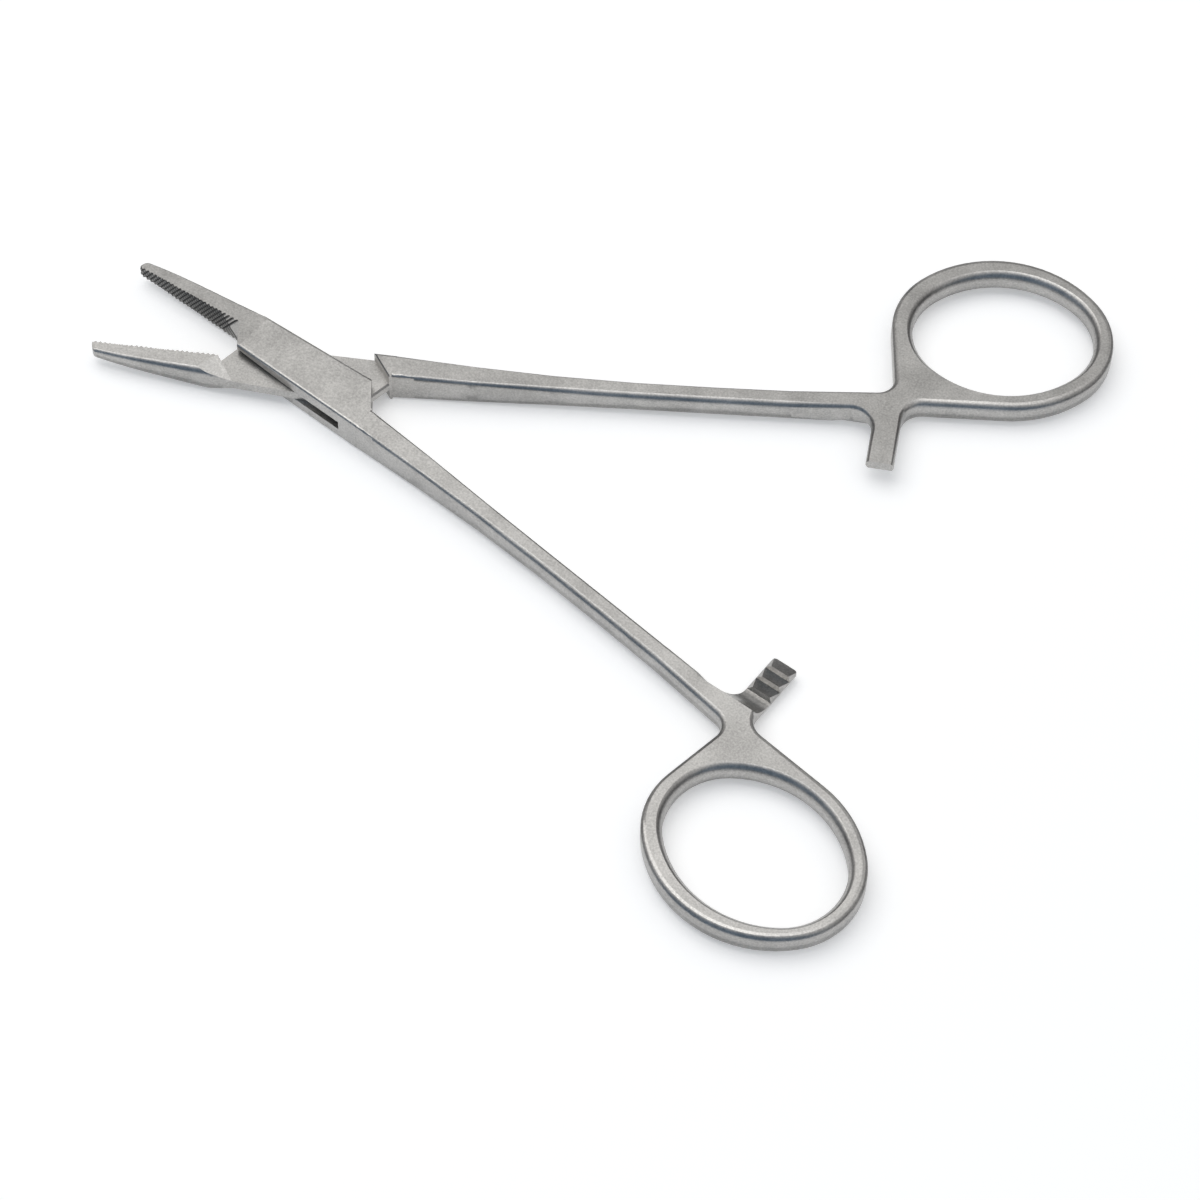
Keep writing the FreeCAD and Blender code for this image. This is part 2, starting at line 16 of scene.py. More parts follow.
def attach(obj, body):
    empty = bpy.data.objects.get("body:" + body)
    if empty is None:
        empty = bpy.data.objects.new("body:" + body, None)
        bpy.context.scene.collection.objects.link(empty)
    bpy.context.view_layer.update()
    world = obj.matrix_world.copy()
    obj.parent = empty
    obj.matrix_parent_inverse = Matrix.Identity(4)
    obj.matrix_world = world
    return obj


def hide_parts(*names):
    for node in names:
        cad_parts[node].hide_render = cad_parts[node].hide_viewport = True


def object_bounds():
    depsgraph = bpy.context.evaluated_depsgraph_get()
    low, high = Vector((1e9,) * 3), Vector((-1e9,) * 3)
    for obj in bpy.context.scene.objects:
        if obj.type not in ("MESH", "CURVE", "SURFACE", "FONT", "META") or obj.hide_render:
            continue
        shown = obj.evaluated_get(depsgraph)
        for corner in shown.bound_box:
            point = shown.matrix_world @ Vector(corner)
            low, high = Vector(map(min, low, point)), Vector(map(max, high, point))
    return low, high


bl_info = {
    "name": "Needle holder finish",
    "version": (1, 0, 0),
    "blender": (4, 5, 0),
    "location": "3D View > Sidebar > Needle holder",
    "description": "Steel finish, stage and camera for a surgical needle holder",
    "category": "Object",
}

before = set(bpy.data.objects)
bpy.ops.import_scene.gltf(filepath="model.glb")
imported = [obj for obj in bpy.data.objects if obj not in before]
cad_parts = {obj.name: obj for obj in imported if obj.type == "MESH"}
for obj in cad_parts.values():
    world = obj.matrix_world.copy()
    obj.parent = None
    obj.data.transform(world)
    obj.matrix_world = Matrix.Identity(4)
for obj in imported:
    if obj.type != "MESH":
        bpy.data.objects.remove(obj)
cad_low, cad_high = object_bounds()

# Half of the angle between the two halves at rest, which way each is turned by it, and half thickness
HALF_ANGLE = math.radians(13.65)
TURN = {"female_half": -1, "male_half": 1}
MIDDLE = 0.0026

# Cosine within which two triangles lie in one flat, how many make a flat, and how level a ground flat is
FLATNESS = 0.99999
FLAT_COUNT = 3
LEVEL = 0.97

# Where the sides are forged round: the jaw's back, and all beyond the lock apart from the ratchet arm
JAW_BACK = (-0.0105, -0.0006)
SHANK_START = 0.0145
ARM_ZONE = (0.0700, 0.0075)

# Half thickness along the half: at the jaw's tip and root, at the lock's end and at the shank's sections
STATIONS = (-0.0296, -0.0090, 0.0120, 0.0228, 0.0336, 0.0444, 0.0552)
HALF_THICKNESS = (0.0009, 0.0026, 0.0026, 0.002275, 0.00205, 0.001925, 0.0019)

# Where the side changes from the lock's crisp edge to the shank's rounding, and the strips at both ends of
# the shank whose triangles are forged at some corners only; those of the palm start at its seam
ROLL_RANGE = (0.0145, 0.0400)
LOCK_STRIP = (0.0119, 0.0151)
PALM_STRIP = (0.0659, 0.0765)
PALM_SEAM = 0.0665

# First and last cross line of the shank, and how many there are
SHANK_LINES = (0.0150, 0.0645, 23)

# Where the painted shade in the gripping face's grooves lies: where the face starts, its line from heel to
# tip, how far behind it the grooves end as a share of their depth, how upright a face counts as a groove's
# wall, and over what length the heel fades in
GRIP_START = -0.0119
GRIP_SLOPE = 0.0134
GRIP_OFFSET = -0.000407
GRIP_END = (-3.0, -2.5)
GRIP_WALL = (0.80, 0.90)
GRIP_FADE = 0.0001

# The cutter's end in the ratchet's run-out, how far its step is eased, and between which shares of a normal
# along the shank a face holds its corners
RUN_OUT = 0.07155
EASE = 0.0018
LEANING = (0.02, 0.98)

# The finger ring: its middle, how far its hole reaches, the level of its flats and of the lower edge of the
# hole's bevel, how far those edges are moved, and where the outer move fades out towards palm and arm
RING_CENTRE = (0.0925, 0.0234, 0.0)
HOLE_REACH = 0.0142
RING_LEVEL = 0.0019
BEVEL_LEVEL = 0.00145
HOLE_EASE = 0.00035
RIM_EASE = 0.00025
BEVEL_DROP = 0.00055
PALM_FADE = (0.0740, 0.0830)
ARM_FADE = (0.0075, 0.0110)

# How near a point has to be to lie in the cutter's end, in the ring's flat and in the edge of its bevel
IN_END = 0.00002
IN_FLAT = 0.00001
IN_BEVEL = 0.000002

# The shortest length that counts, and an area that keeps a division from failing
SHORT = 1e-6
TINY = 1e-12

# How much the clouds, the smears and the polishing lines change the roughness
UNEVEN = (0.05, 0.04, 0.03)

# Heights and depths in the studio, as parts of a direction of length 1: from the walls to the ceiling, from
# there to the light straight above, and from the room to its dark side behind the viewer
CEILING_RANGE = (0.32, 0.78)
ZENITH_RANGE = (0.90, 0.98)
VIEWER_RANGE = (-0.6, -0.25)

# The gap between instrument and floor, and the camera's sensor and nearest and farthest sight
FLOOR_GAP = 0.00002
SENSOR = 36.0
SIGHT = (0.01, 10.0)


class SteelSettings(bpy.types.PropertyGroup):
    """Colour, grain and edges of the satin steel, and the painted shade in the grooves of the gripping faces.
    """
    colour: bpy.props.FloatVectorProperty(
        name="Steel", description="Mean colour of the bare steel",
        subtype="COLOR", size=3, min=0.0, max=1.0, default=(0.455, 0.446, 0.432))
    dark_tone: bpy.props.FloatProperty(
        name="Dark tone", description="Share of the colour in the darkest specks",
        subtype="FACTOR", min=0.0, max=1.0, default=0.73)
    light_tone: bpy.props.FloatProperty(
        name="Light tone", description="Share of the colour in the lightest specks",
        min=1.0, max=2.0, default=1.15)
    # Painted shade: the dark colour laid deep in the grooves of the gripping faces, where shade falls
    groove_shade_colour: bpy.props.FloatVectorProperty(
        name="Grooves", description="Colour deep in the grooves of the gripping faces",
        subtype="COLOR", size=3, min=0.0, max=1.0, default=(0.07, 0.07, 0.07))
    roughness: bpy.props.FloatProperty(
        name="Roughness", description="Mean roughness of the satin finish",
        subtype="FACTOR", min=0.0, max=1.0, default=0.37)
    grain_length: bpy.props.FloatProperty(
        name="Grain length", description="Length of one polishing line across the shank",
        subtype="DISTANCE", unit="LENGTH", default=0.0016, precision=5)
    grain_width: bpy.props.FloatProperty(
        name="Grain width", description="Width of one polishing line",
        subtype="DISTANCE", unit="LENGTH", default=0.00016, precision=5)
    blast_size: bpy.props.FloatProperty(
        name="Blast size", description="Width of the specks of the blasted surface",
        subtype="DISTANCE", unit="LENGTH", default=0.00028, precision=5)
    cloud_size: bpy.props.FloatProperty(
        name="Cloud size", description="Width of the broad changes of tone",
        subtype="DISTANCE", unit="LENGTH", default=0.006, precision=4)
    smear_size: bpy.props.FloatProperty(
        name="Smear size", description="Width of the changes of gloss",
        subtype="DISTANCE", unit="LENGTH", default=0.0018, precision=4)
    bump_strength: bpy.props.FloatProperty(
        name="Bump", description="Strength of the surface's unevenness",
        subtype="FACTOR", min=0.0, max=1.0, default=0.25)
    bump_height: bpy.props.FloatProperty(
        name="Bump height", description="Height of the surface's unevenness",
        subtype="DISTANCE", unit="LENGTH", default=0.00003, precision=6)
    # How deep in a groove the painted shade of the gripping faces reaches its darkest
    grip_shade_depth: bpy.props.FloatProperty(
        name="Grip depth", description="Depth at which a groove of the gripping face is darkest",
        subtype="DISTANCE", unit="LENGTH", default=0.0002, precision=5)
    weld: bpy.props.FloatProperty(
        name="Weld", description="Corners closer than this are joined",
        subtype="DISTANCE", unit="LENGTH", default=0.000001, precision=6)
    smooth_angle: bpy.props.FloatProperty(
        name="Smooth angle", description="Edges sharper than this stay crisp",
        subtype="ANGLE", unit="ROTATION", default=math.radians(32))
    round_angle: bpy.props.FloatProperty(
        name="Round angle", description="The same along the forged sides of shanks and rings",
        subtype="ANGLE", unit="ROTATION", default=math.radians(50))
    roll: bpy.props.FloatProperty(
        name="Roll", description="How steeply a forged side meets the ground flat",
        subtype="ANGLE", unit="ROTATION", default=math.radians(69))
    roll_power: bpy.props.FloatProperty(
        name="Roll power", description="How much of the roll lies near the flats; 1 spreads it evenly",
        min=1.0, max=4.0, default=1.7)
    edge_power: bpy.props.FloatProperty(
        name="Edge power", description="The same at the lock's end, where the side is still flat",
        min=1.0, max=8.0, default=4.5)


class StageSettings(bpy.types.PropertyGroup):
    """Floor, studio, lamp and camera."""
    floor_colour: bpy.props.FloatVectorProperty(
        name="Floor", description="Colour of the pale floor",
        subtype="COLOR", size=3, min=0.0, max=1.0, default=(0.86, 0.86, 0.86))
    floor_glow: bpy.props.FloatProperty(
        name="Floor glow", description="What the floor adds where it is seen directly or in the steel",
        min=0.0, max=1.0, default=0.32)
    floor_width: bpy.props.FloatProperty(
        name="Floor width", description="Side of the square floor",
        subtype="DISTANCE", unit="LENGTH", default=3.0)
    horizon: bpy.props.FloatVectorProperty(
        name="Walls", description="Light of the studio's walls",
        subtype="COLOR", size=3, min=0.0, default=(0.12, 0.12, 0.125))
    ceiling: bpy.props.FloatVectorProperty(
        name="Ceiling", description="Light of the studio's ceiling",
        subtype="COLOR", size=3, min=0.0, default=(0.75, 0.75, 0.745))
    zenith: bpy.props.FloatVectorProperty(
        name="Above", description="Light of the panel straight above",
        subtype="COLOR", size=3, min=0.0, default=(1.7, 1.7, 1.7))
    viewer_side: bpy.props.FloatVectorProperty(
        name="Viewer's side", description="Light of the room behind the viewer",
        subtype="COLOR", size=3, min=0.0, default=(0.13, 0.19, 0.27))
    lamp_place: bpy.props.FloatVectorProperty(
        name="Lamp", description="Where the key lamp hangs, from the middle of the instrument",
        subtype="TRANSLATION", unit="LENGTH", size=3, default=(-0.30, 0.06, 0.80))
    lamp_colour: bpy.props.FloatVectorProperty(
        name="Lamp colour", description="Colour of the key lamp",
        subtype="COLOR", size=3, min=0.0, max=1.0, default=(1.0, 0.99, 0.975))
    lamp_size: bpy.props.FloatProperty(
        name="Lamp size", description="Side of the square key lamp",
        subtype="DISTANCE", unit="LENGTH", default=0.7)
    lamp_power: bpy.props.FloatProperty(
        name="Lamp power", description="Power of the key lamp in watts", min=0.0, default=2.2)
    camera_place: bpy.props.FloatVectorProperty(
        name="Camera", description="Where the camera stands",
        subtype="TRANSLATION", unit="LENGTH", size=3, default=(0.16987, -0.30161, 0.45769))
    camera_target: bpy.props.FloatVectorProperty(
        name="Target", description="The point that the camera looks at",
        subtype="TRANSLATION", unit="LENGTH", size=3, default=(0.05206, -0.01895, 0.0052))
    lens: bpy.props.FloatProperty(
        name="Lens", description="Focal length in millimetres on a 36 mm wide sensor", default=125.6)
    roll: bpy.props.FloatProperty(
        name="Roll", description="Turn of the camera about its own axis",
        subtype="ANGLE", unit="ROTATION", default=math.radians(1.23))


def node_tree(name):
    """A new material with only its output, and the tree that is built into it."""
    material = bpy.data.materials.new(name)
    material.use_nodes = True
    tree = material.node_tree
    tree.nodes.clear()
    output = tree.nodes.new("ShaderNodeOutputMaterial")
    return material, tree, output


def turned(tree, place, angle, scale=(1.0, 1.0, 1.0)):
    """A place on the piece, turned about Z and then scaled along each axis."""
    mapping = tree.nodes.new("ShaderNodeMapping")
    mapping.inputs["Rotation"].default_value = (0.0, 0.0, angle)
    mapping.inputs["Scale"].default_value = scale
    tree.links.new(place, mapping.inputs["Vector"])
    return mapping.outputs["Vector"]


def noise(tree, place, size, stretch=(1.0, 1.0, 1.0), angle=0.0, detail=3.0, rough=0.55):
    """Noise whose features are about `size` metres wide, stretched along turned axes."""
    texture = tree.nodes.new("ShaderNodeTexNoise")
    texture.inputs["Scale"].default_value = 1.0
    texture.inputs["Detail"].default_value = detail
    texture.inputs["Roughness"].default_value = rough
    scaled = turned(tree, place, angle, [1.0 / (size * part) for part in stretch])
    tree.links.new(scaled, texture.inputs["Vector"])
    return texture.outputs["Fac"]


def parts(tree, vector):
    """The three parts of a vector."""
    node = tree.nodes.new("ShaderNodeSeparateXYZ")
    tree.links.new(vector, node.inputs["Vector"])
    return node.outputs


def spread(tree, value, low, high, from_low=0.3, from_high=0.7):
    """A value from one range carried to another, without going past its ends."""
    node = tree.nodes.new("ShaderNodeMapRange")
    node.inputs["From Min"].default_value = from_low
    node.inputs["From Max"].default_value = from_high
    node.inputs["To Min"].default_value = low
    node.inputs["To Max"].default_value = high
    tree.links.new(value, node.inputs["Value"])
    return node.outputs["Result"]


def joined(tree, operation, *terms):
    """Values joined one after the other by one kind of arithmetic; each is a number or a socket."""
    result = terms[0]
    for term in terms[1:]:
        node = tree.nodes.new("ShaderNodeMath")
        node.operation = operation
        for socket, value in zip(node.inputs, (result, term)):
            if isinstance(value, (int, float)):
                socket.default_value = value
            else:
                tree.links.new(value, socket)
        result = node.outputs["Value"]
    return result


def times(tree, value, factor):
    """A value multiplied by a number."""
    return joined(tree, "MULTIPLY", value, factor)


def blend(tree, factor, first, second):
    """One colour carried over into another; each is a colour or a socket."""
    node = tree.nodes.new("ShaderNodeMix")
    node.data_type = "RGBA"
    tree.links.new(factor, node.inputs["Factor"])
    for socket, value in (("A", first), ("B", second)):
        if isinstance(value, bpy.types.NodeSocket):
            tree.links.new(value, node.inputs[socket])
        else:
            node.inputs[socket].default_value = (*value, 1.0)
    return node.outputs["Result"]


def painted_grip_shade(tree, place, body):
    """Where painted shade darkens a gripping face: how deep a point lies in its cross cut, 0 at the crests, 1
    in the grooves.

    The depth is measured from the line of the crests, on faces that aren't level, in front of the heel and
    only as far in as the grooves go."""
    depth = bpy.context.scene.needle_steel.grip_shade_depth
    own = parts(tree, turned(tree, place, -TURN[body] * HALF_ANGLE))
    across = times(tree, own["Y"], float(TURN[body]))
    crests = joined(tree, "ADD", times(tree, own["X"], -GRIP_SLOPE), GRIP_OFFSET)
    height = joined(tree, "SUBTRACT", across, crests)
    deep = spread(tree, height, 1.0, 0.0, -depth, 0.0)
    near = spread(tree, height, 0.0, 1.0, GRIP_END[0] * depth, GRIP_END[1] * depth)
    upright = parts(tree, tree.nodes.new("ShaderNodeNewGeometry").outputs["True Normal"])["Z"]
    wall = spread(tree, joined(tree, "ABSOLUTE", upright, 0.0), 1.0, 0.0, *GRIP_WALL)
    jaw = spread(tree, own["X"], 1.0, 0.0, GRIP_START - GRIP_FADE, GRIP_START)
    return joined(tree, "MULTIPLY", deep, near, wall, jaw)


def satin_steel(name, body):
    """Satin stainless steel: polishing lines across the shank, a blasted tooth, uneven gloss and painted
    shade in the grip's grooves.
    """
    settings = bpy.context.scene.needle_steel
    material, tree, output = node_tree(name)
    place = tree.nodes.new("ShaderNodeTexCoord").outputs["Object"]
    angle = TURN[body] * HALF_ANGLE
    width = settings.grain_width
    length = settings.grain_length / width
    lines = noise(tree, place, width, (1.0, length, length), angle, detail=2.0)
    blast = noise(tree, place, settings.blast_size, rough=0.65)
    clouds = noise(tree, place, settings.cloud_size, detail=4.0, rough=0.6)
    smears = noise(tree, place, settings.smear_size, (1.0, 2.5, 1.0), angle, detail=4.0, rough=0.65)

    shader = tree.nodes.new("ShaderNodeBsdfPrincipled")
    shader.inputs["Metallic"].default_value = 1.0
    uneven = [spread(tree, cause, -most, most) for cause, most in zip((clouds, smears, lines), UNEVEN)]
    rough = joined(tree, "ADD", *uneven, settings.roughness)
    tree.links.new(rough, shader.inputs["Roughness"])

    dark = [settings.dark_tone * part for part in settings.colour]
    light = [min(1.0, settings.light_tone * part) for part in settings.colour]
    speckle = joined(tree, "ADD", times(tree, clouds, 0.4), times(tree, blast, 0.6))
    steel = blend(tree, spread(tree, speckle, 0.0, 1.0, 0.38, 0.62), dark, light)
    # Painted shade: the grooves of the gripping faces are darkened in the base colour, where shade falls
    colour = blend(tree, painted_grip_shade(tree, place, body), steel, settings.groove_shade_colour)
    tree.links.new(colour, shader.inputs["Base Color"])

    bump = tree.nodes.new("ShaderNodeBump")
    bump.inputs["Strength"].default_value = settings.bump_strength
    bump.inputs["Distance"].default_value = settings.bump_height
    height = joined(tree, "ADD", times(tree, lines, 0.6), times(tree, blast, 0.5))
    tree.links.new(height, bump.inputs["Height"])
    tree.links.new(bump.outputs["Normal"], shader.inputs["Normal"])
    tree.links.new(shader.outputs["BSDF"], output.inputs["Surface"])
    return material


def column(items, name, kind=float):
    """One attribute of all a mesh's points, corners or faces, as one long array."""
    width = 3 if name in ("co", "normal") else 1
    values = np.empty(len(items) * width, dtype=kind)
    items.foreach_get(name, values)
    return values.reshape(-1, 3) if width == 3 else values


def triangles(mesh):
    """A mesh's points, the three points of each triangle, and the triangles' normals."""
    corners = column(mesh.loops, "vertex_index", np.int32).reshape(-1, 3)
    return column(mesh.vertices, "co"), corners, column(mesh.polygons, "normal")


def put_back(mesh, places):
    """Give a mesh its moved points."""
    mesh.vertices.foreach_set("co", places.ravel())
    mesh.update()


def shank_line(body):
    """The direction of a half's shank in the model's frame."""
    return Vector((math.cos(HALF_ANGLE), TURN[body] * math.sin(HALF_ANGLE), 0.0))


def own_frame(places, body):
    """Points of the model in a half's own frame: turned back about Z, and the female half turned over."""
    turn = TURN[body]
    cos, sin = math.cos(HALF_ANGLE), math.sin(HALF_ANGLE)
    x, y = places[:, 0], places[:, 1] * turn
    return np.stack([x * cos + y * sin, y * cos - x * sin, (places[:, 2] - MIDDLE) * turn], 1)


def laid_level(vectors):
    """Vectors without their upright part, brought to length 1."""
    level = vectors * (1.0, 1.0, 0.0)
    return level / np.maximum(np.linalg.norm(level, axis=1), SHORT)[:, None]


def ramp(values, ends):
    """0 before the first end, 1 after the second, and straight in between."""
    return np.clip((values - ends[0]) / (ends[1] - ends[0]), 0.0, 1.0)


def divide_shank(form, body):
    """Cut cross lines into the shank's long faces, so that its sides roll evenly from end to end."""
    along = shank_line(body)
    for distance in np.linspace(*SHANK_LINES):
        bmesh.ops.bisect_plane(form, geom=form.verts[:] + form.edges[:] + form.faces[:], dist=SHORT,
                               plane_co=along * distance, plane_no=along)


def ease_runout(mesh, body):
    """Slope the step that the cutter's end leaves at the start of the ratchet's run-out.

    The points in the plane of that end slide along the shank, unless a level or a leaning face holds them."""
    places, corners, normals = triangles(mesh)
    along = np.array(shank_line(body))
    lean = np.abs(normals @ along)
    holding = (lean > LEANING[0]) & (lean < LEANING[1]) | (np.abs(normals[:, 2]) > LEVEL)
    free = np.abs(own_frame(places, body)[:, 0] - RUN_OUT) < IN_END
    free[corners[holding]] = False
    places[free] += EASE * along
    put_back(mesh, places)


def round_ring(mesh, body):
    """Widen the ring's roundings.

    Points at the edges of its flats move away from the sides that they border, and the lower edge of the
    finger hole's bevel moves towards half height."""
    places, corners, normals = triangles(mesh)
    own = own_frame(places, body)
    sides = np.abs(normals[:, 2]) < LEVEL
    outward = np.zeros_like(places)
    np.add.at(outward, corners[sides], normals[sides][:, None, :])
    outward = laid_level(outward)
    inward = (np.array(RING_CENTRE) - own)[:, :2]
    facing = (own_frame(places + outward, body) - own)[:, :2]
    hole = ((facing * inward).sum(axis=1) > 0) & (np.linalg.norm(inward, axis=1) < HOLE_REACH)
    rim = RIM_EASE * ramp(own[:, 0], PALM_FADE) * ramp(own[:, 1], ARM_FADE)
    level = np.abs(np.abs(own[:, 2]) - RING_LEVEL) < IN_FLAT
    places -= outward * (np.where(hole, HOLE_EASE, rim) * level)[:, None]
    bevel = hole & (np.abs(np.abs(own[:, 2]) - BEVEL_LEVEL) < IN_BEVEL)
    places[bevel, 2] -= BEVEL_DROP * np.sign(places[bevel, 2] - MIDDLE)
    put_back(mesh, places)


def neighbours(corners):
    """Pairs of triangles that share an edge."""
    edges = np.sort(corners[:, [[0, 1], [1, 2], [2, 0]]].reshape(-1, 2), axis=1).astype(np.int64)
    keys = edges[:, 0] * (corners.max() + 1) + edges[:, 1]
    order = np.argsort(keys, kind="stable")
    same = keys[order][1:] == keys[order][:-1]
    return order[:-1][same] // 3, order[1:][same] // 3


def flat_regions(normals, corners, lock):
    """Which triangles belong to a flat: they are level, or in the lock with others in one plane.

    Triangles that share an edge and a plane take the lowest number among them, over and over, until each
    plane region has one number."""
    first, second = neighbours(corners)
    plane = (normals[first] * normals[second]).sum(axis=1) > FLATNESS
    first, second = first[plane], second[plane]
    label = np.arange(len(normals))
    while True:
        low = np.minimum(label[first], label[second])
        lower = label.copy()
        np.minimum.at(lower, first, low)
        np.minimum.at(lower, second, low)
        lower = lower[lower]
        if (lower == label).all():
            break
        label = lower
    large = np.bincount(label, minlength=len(label))[label] >= FLAT_COUNT
    return (large & lock) | (np.abs(normals[:, 2]) > LEVEL)


def corner_fans(corners, chosen):
    """Each chosen corner with each triangle around its point, as two arrays of the same length."""
    points = corners.ravel()
    counts = np.bincount(points)
    starts = np.cumsum(counts) - counts
    around = np.argsort(points, kind="stable") // 3
    sizes = counts[points[chosen]]
    corner = np.repeat(chosen, sizes)
    step = np.arange(len(corner)) - np.repeat(np.cumsum(sizes) - sizes, sizes)
    return corner, around[starts[points[corner]] + step]


def smoothed(normals, areas, corners, flat, forged, settings):
    """One normal for each corner, smoothed where its triangle lies in no flat.

    It is the sum of the normals of the triangles around its point that are bent from its own by less than
    the limit there. Flats among them count alone, by their area, so that their edge keeps their plane.
    Otherwise small triangles count for more. At a forged side the flats are left out."""
    chosen = np.flatnonzero(np.repeat(~flat, 3))
    corner, triangle = corner_fans(corners, chosen)
    rounded = forged[corners.ravel()[corner]]
    limit = np.where(rounded, math.cos(settings.round_angle), math.cos(settings.smooth_angle))
    kept = (normals[triangle] * normals[corner // 3]).sum(axis=1) > limit
    kept &= ~(flat[triangle] & rounded)
    level = kept & flat[triangle]
    beside_flat = np.bincount(corner[level], minlength=corners.size)[corner] > 0
    weight = np.where(beside_flat, areas[triangle] * level, kept / np.sqrt(areas[triangle] + TINY))
    result = np.zeros((corners.size, 3))
    np.add.at(result, corner, normals[triangle] * weight[:, None])
    result[chosen] /= np.maximum(np.linalg.norm(result[chosen], axis=1), TINY)[:, None]
    in_flat = np.repeat(flat, 3)
    result[in_flat] = np.repeat(normals, 3, axis=0)[in_flat]
    return result


def roll_over(normals, height, along, settings):
    """Normals of a forged round side: level at half height and nearly upright at the edge of the flat.

    The tilt is the full roll times a power of the height's share of half the thickness there."""
    share = np.clip(height / np.interp(along, STATIONS, HALF_THICKNESS), -1.0, 1.0)
    power = np.interp(along, ROLL_RANGE, (settings.edge_power, settings.roll_power))
    power = np.where(along < 0.0, settings.roll_power, power)
    tilt = np.sign(share) * np.abs(share) ** power * settings.roll
    rolled = laid_level(normals) * np.cos(tilt)[:, None]
    rolled[:, 2] = np.sin(tilt)
    return rolled


def within(values, ends):
    """Which rows lie wholly between two ends."""
    return ((values > ends[0]) & (values < ends[1])).all(axis=1)


def ground_normals(mesh, body, settings):
    """Corner normals that keep ground flats flat and let the forged sides roll out of them."""
    places, corners, normals = triangles(mesh)
    own = own_frame(places, body)
    arm = (own[:, 0] > ARM_ZONE[0]) & (own[:, 1] < ARM_ZONE[1])
    back = (own[:, 0] < JAW_BACK[0]) & (own[:, 1] < JAW_BACK[1])
    forged = (own[:, 0] > SHANK_START) & ~arm | back
    lock = ~forged[corners].all(axis=1)
    flat = flat_regions(normals, corners, lock)
    result = smoothed(normals, column(mesh.polygons, "area"), corners, flat, forged, settings)
    along = own[corners, 0]
    mixed = within(along, LOCK_STRIP) | within(along, PALM_STRIP) & (along < PALM_SEAM).any(axis=1)
    side = ((~flat & (~lock | mixed))[:, None] & forged[corners]).ravel()
    points = corners.ravel()[side]
    result[side] = roll_over(result[side], places[points, 2] - MIDDLE, own[points, 0], settings)
    mesh.normals_split_custom_set(result.tolist())


def joined_copy(node, body, settings):
    """The node's own form as one joined surface, with even shanks and rounder rings."""
    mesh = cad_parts[node].data.copy()
    mesh.name = node + "_steel"
    form = bmesh.new()
    form.from_mesh(mesh)
    bmesh.ops.remove_doubles(form, verts=form.verts, dist=settings.weld)
    if node != "pivot_pin":
        divide_shank(form, body)
    bmesh.ops.triangulate(form, faces=form.faces)
    form.to_mesh(mesh)
    form.free()
    if node != "pivot_pin":
        ease_runout(mesh, body)
        round_ring(mesh, body)
    return mesh


def dress(node, body, finish):
    """Put a copy of a node, in satin steel and with its own corner normals, in the node's place."""
    settings = bpy.context.scene.needle_steel
    mesh = joined_copy(node, body, settings)
    mesh.shade_smooth()
    ground_normals(mesh, body, settings)
    mesh.materials.clear()
    mesh.materials.append(satin_steel(finish, body))
    piece = bpy.data.objects.new(node + "_steel", mesh)
    bpy.context.scene.collection.objects.link(piece)
    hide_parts(node)
    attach(piece, body)


def make_floor(stage):
    """A square floor just under the instrument, which keeps the contact shadow."""
    half = stage.floor_width / 2
    low = cad_low.z - FLOOR_GAP
    mesh = bpy.data.meshes.new("floor")
    mesh.from_pydata([(-half, -half, low), (half, -half, low), (half, half, low), (-half, half, low)],
                     [], [(0, 1, 2, 3)])
    material, tree, output = node_tree("pale_floor")
    diffuse = tree.nodes.new("ShaderNodeBsdfDiffuse")
    diffuse.inputs["Color"].default_value = [*stage.floor_colour, 1.0]
    glow = tree.nodes.new("ShaderNodeEmission")
    path = tree.nodes.new("ShaderNodeLightPath").outputs
    seen = joined(tree, "MAXIMUM", path["Is Camera Ray"], path["Is Glossy Ray"])
    tree.links.new(times(tree, seen, stage.floor_glow), glow.inputs["Strength"])
    both = tree.nodes.new("ShaderNodeAddShader")
    tree.links.new(diffuse.outputs["BSDF"], both.inputs[0])
    tree.links.new(glow.outputs["Emission"], both.inputs[1])
    tree.links.new(both.outputs["Shader"], output.inputs["Surface"])
    mesh.materials.append(material)
    floor = bpy.data.objects.new("floor", mesh)
    bpy.context.scene.collection.objects.link(floor)


def make_world(stage):
    """A studio with a broad pale ceiling, grey walls and a dark, cool side behind the viewer."""
    world = bpy.data.worlds.new("studio")
    world.use_nodes = True
    tree = world.node_tree
    tree.nodes.clear()
    output = tree.nodes.new("ShaderNodeOutputWorld")
    background = tree.nodes.new("ShaderNodeBackground")
    way = parts(tree, tree.nodes.new("ShaderNodeTexCoord").outputs["Generated"])
    room = blend(tree, spread(tree, way["Z"], 0.0, 1.0, *CEILING_RANGE), stage.horizon, stage.ceiling)
    lit = blend(tree, spread(tree, way["Z"], 0.0, 1.0, *ZENITH_RANGE), room, stage.zenith)
    colour = blend(tree, spread(tree, way["Y"], 1.0, 0.0, *VIEWER_RANGE), lit, stage.viewer_side)
    tree.links.new(colour, background.inputs["Color"])
    tree.links.new(background.outputs["Background"], output.inputs["Surface"])
    bpy.context.scene.world = world


def make_lamp(stage):
    """One square soft key lamp overhead, towards the upper left, that faces the instrument."""
    light = bpy.data.lights.new("key", "AREA")
    light.shape = "SQUARE"
    light.size = stage.lamp_size
    light.energy = stage.lamp_power
    light.color = stage.lamp_colour
    way = Vector(stage.lamp_place)
    lamp = bpy.data.objects.new("key", light)
    lamp.location = (cad_low + cad_high) / 2 + way
    lamp.rotation_euler = (-way).to_track_quat("-Z", "Y").to_euler()
    bpy.context.scene.collection.objects.link(lamp)


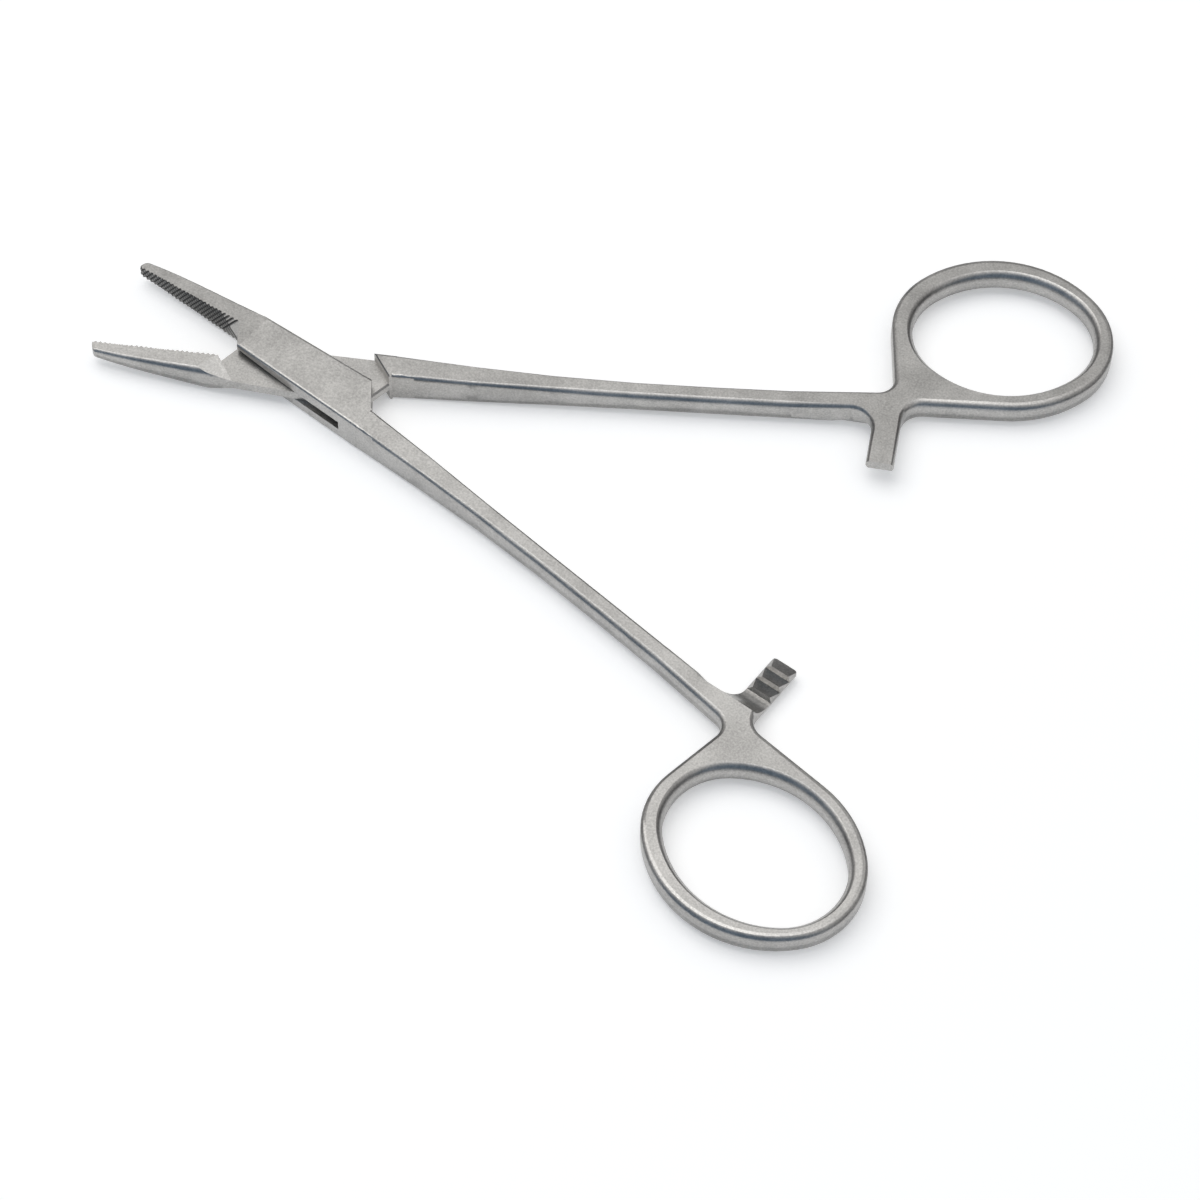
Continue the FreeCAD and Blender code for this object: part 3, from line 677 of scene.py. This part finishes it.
def make_camera(stage):
    """The camera that sees the instrument as the photograph does."""
    data = bpy.data.cameras.new("camera")
    data.sensor_width = SENSOR
    data.lens = stage.lens
    data.clip_start, data.clip_end = SIGHT
    camera = bpy.data.objects.new("camera", data)
    camera.location = stage.camera_place
    aim = Vector(stage.camera_target) - Vector(stage.camera_place)
    turn = aim.to_track_quat("-Z", "Y") @ Quaternion((0.0, 0.0, 1.0), stage.roll)
    camera.rotation_euler = turn.to_euler()
    bpy.context.scene.collection.objects.link(camera)
    bpy.context.scene.camera = camera


class FemaleHalf(bpy.types.Operator):
    """Dress the half that carries the box of the lock"""
    bl_idname = "needle.female_half"
    bl_label = "Female half"

    def execute(self, context):
        dress("female_half", "female_half", "satin_steel_female")
        return {"FINISHED"}


class MaleHalf(bpy.types.Operator):
    """Dress the half whose web passes through the box"""
    bl_idname = "needle.male_half"
    bl_label = "Male half"

    def execute(self, context):
        dress("male_half", "male_half", "satin_steel_male")
        return {"FINISHED"}


class PivotPin(bpy.types.Operator):
    """Dress the rivet that is ground flush with the box"""
    bl_idname = "needle.pivot_pin"
    bl_label = "Pivot pin"

    def execute(self, context):
        dress("pivot_pin", "female_half", "satin_steel_pin")
        return {"FINISHED"}


class Stage(bpy.types.Operator):
    """Lay the pale floor, hang the soft lamp and stand the camera at the photograph's angle"""
    bl_idname = "needle.stage"
    bl_label = "Stage"

    def execute(self, context):
        stage = context.scene.needle_stage
        for make in (make_floor, make_world, make_lamp, make_camera):
            make(stage)
        context.scene.view_settings.view_transform = "Standard"
        return {"FINISHED"}


STEPS = (FemaleHalf, MaleHalf, PivotPin, Stage)


class NeedlePanel(bpy.types.Panel):
    """Buttons for each piece and for the stage, and their settings"""
    bl_idname = "VIEW3D_PT_needle_holder"
    bl_label = "Needle holder"
    bl_space_type = "VIEW_3D"
    bl_region_type = "UI"
    bl_category = "Needle holder"

    def draw(self, context):
        layout = self.layout
        for step in STEPS:
            layout.operator(step.bl_idname)
        for group in (context.scene.needle_steel, context.scene.needle_stage):
            for name in group.bl_rna.properties.keys():
                if name not in ("rna_type", "name"):
                    layout.prop(group, name)


CLASSES = (SteelSettings, StageSettings, *STEPS, NeedlePanel)


def register():
    """Make the settings, operators and panel known to Blender."""
    for each in CLASSES:
        bpy.utils.register_class(each)
    bpy.types.Scene.needle_steel = bpy.props.PointerProperty(type=SteelSettings)
    bpy.types.Scene.needle_stage = bpy.props.PointerProperty(type=StageSettings)


def unregister():
    """Take them away again."""
    del bpy.types.Scene.needle_steel
    del bpy.types.Scene.needle_stage
    for each in reversed(CLASSES):
        bpy.utils.unregister_class(each)


def main():
    """Build every piece in order."""
    register()
    bpy.ops.needle.female_half()
    bpy.ops.needle.male_half()
    bpy.ops.needle.pivot_pin()
    bpy.ops.needle.stage()


if __name__ == "__main__":
    main()
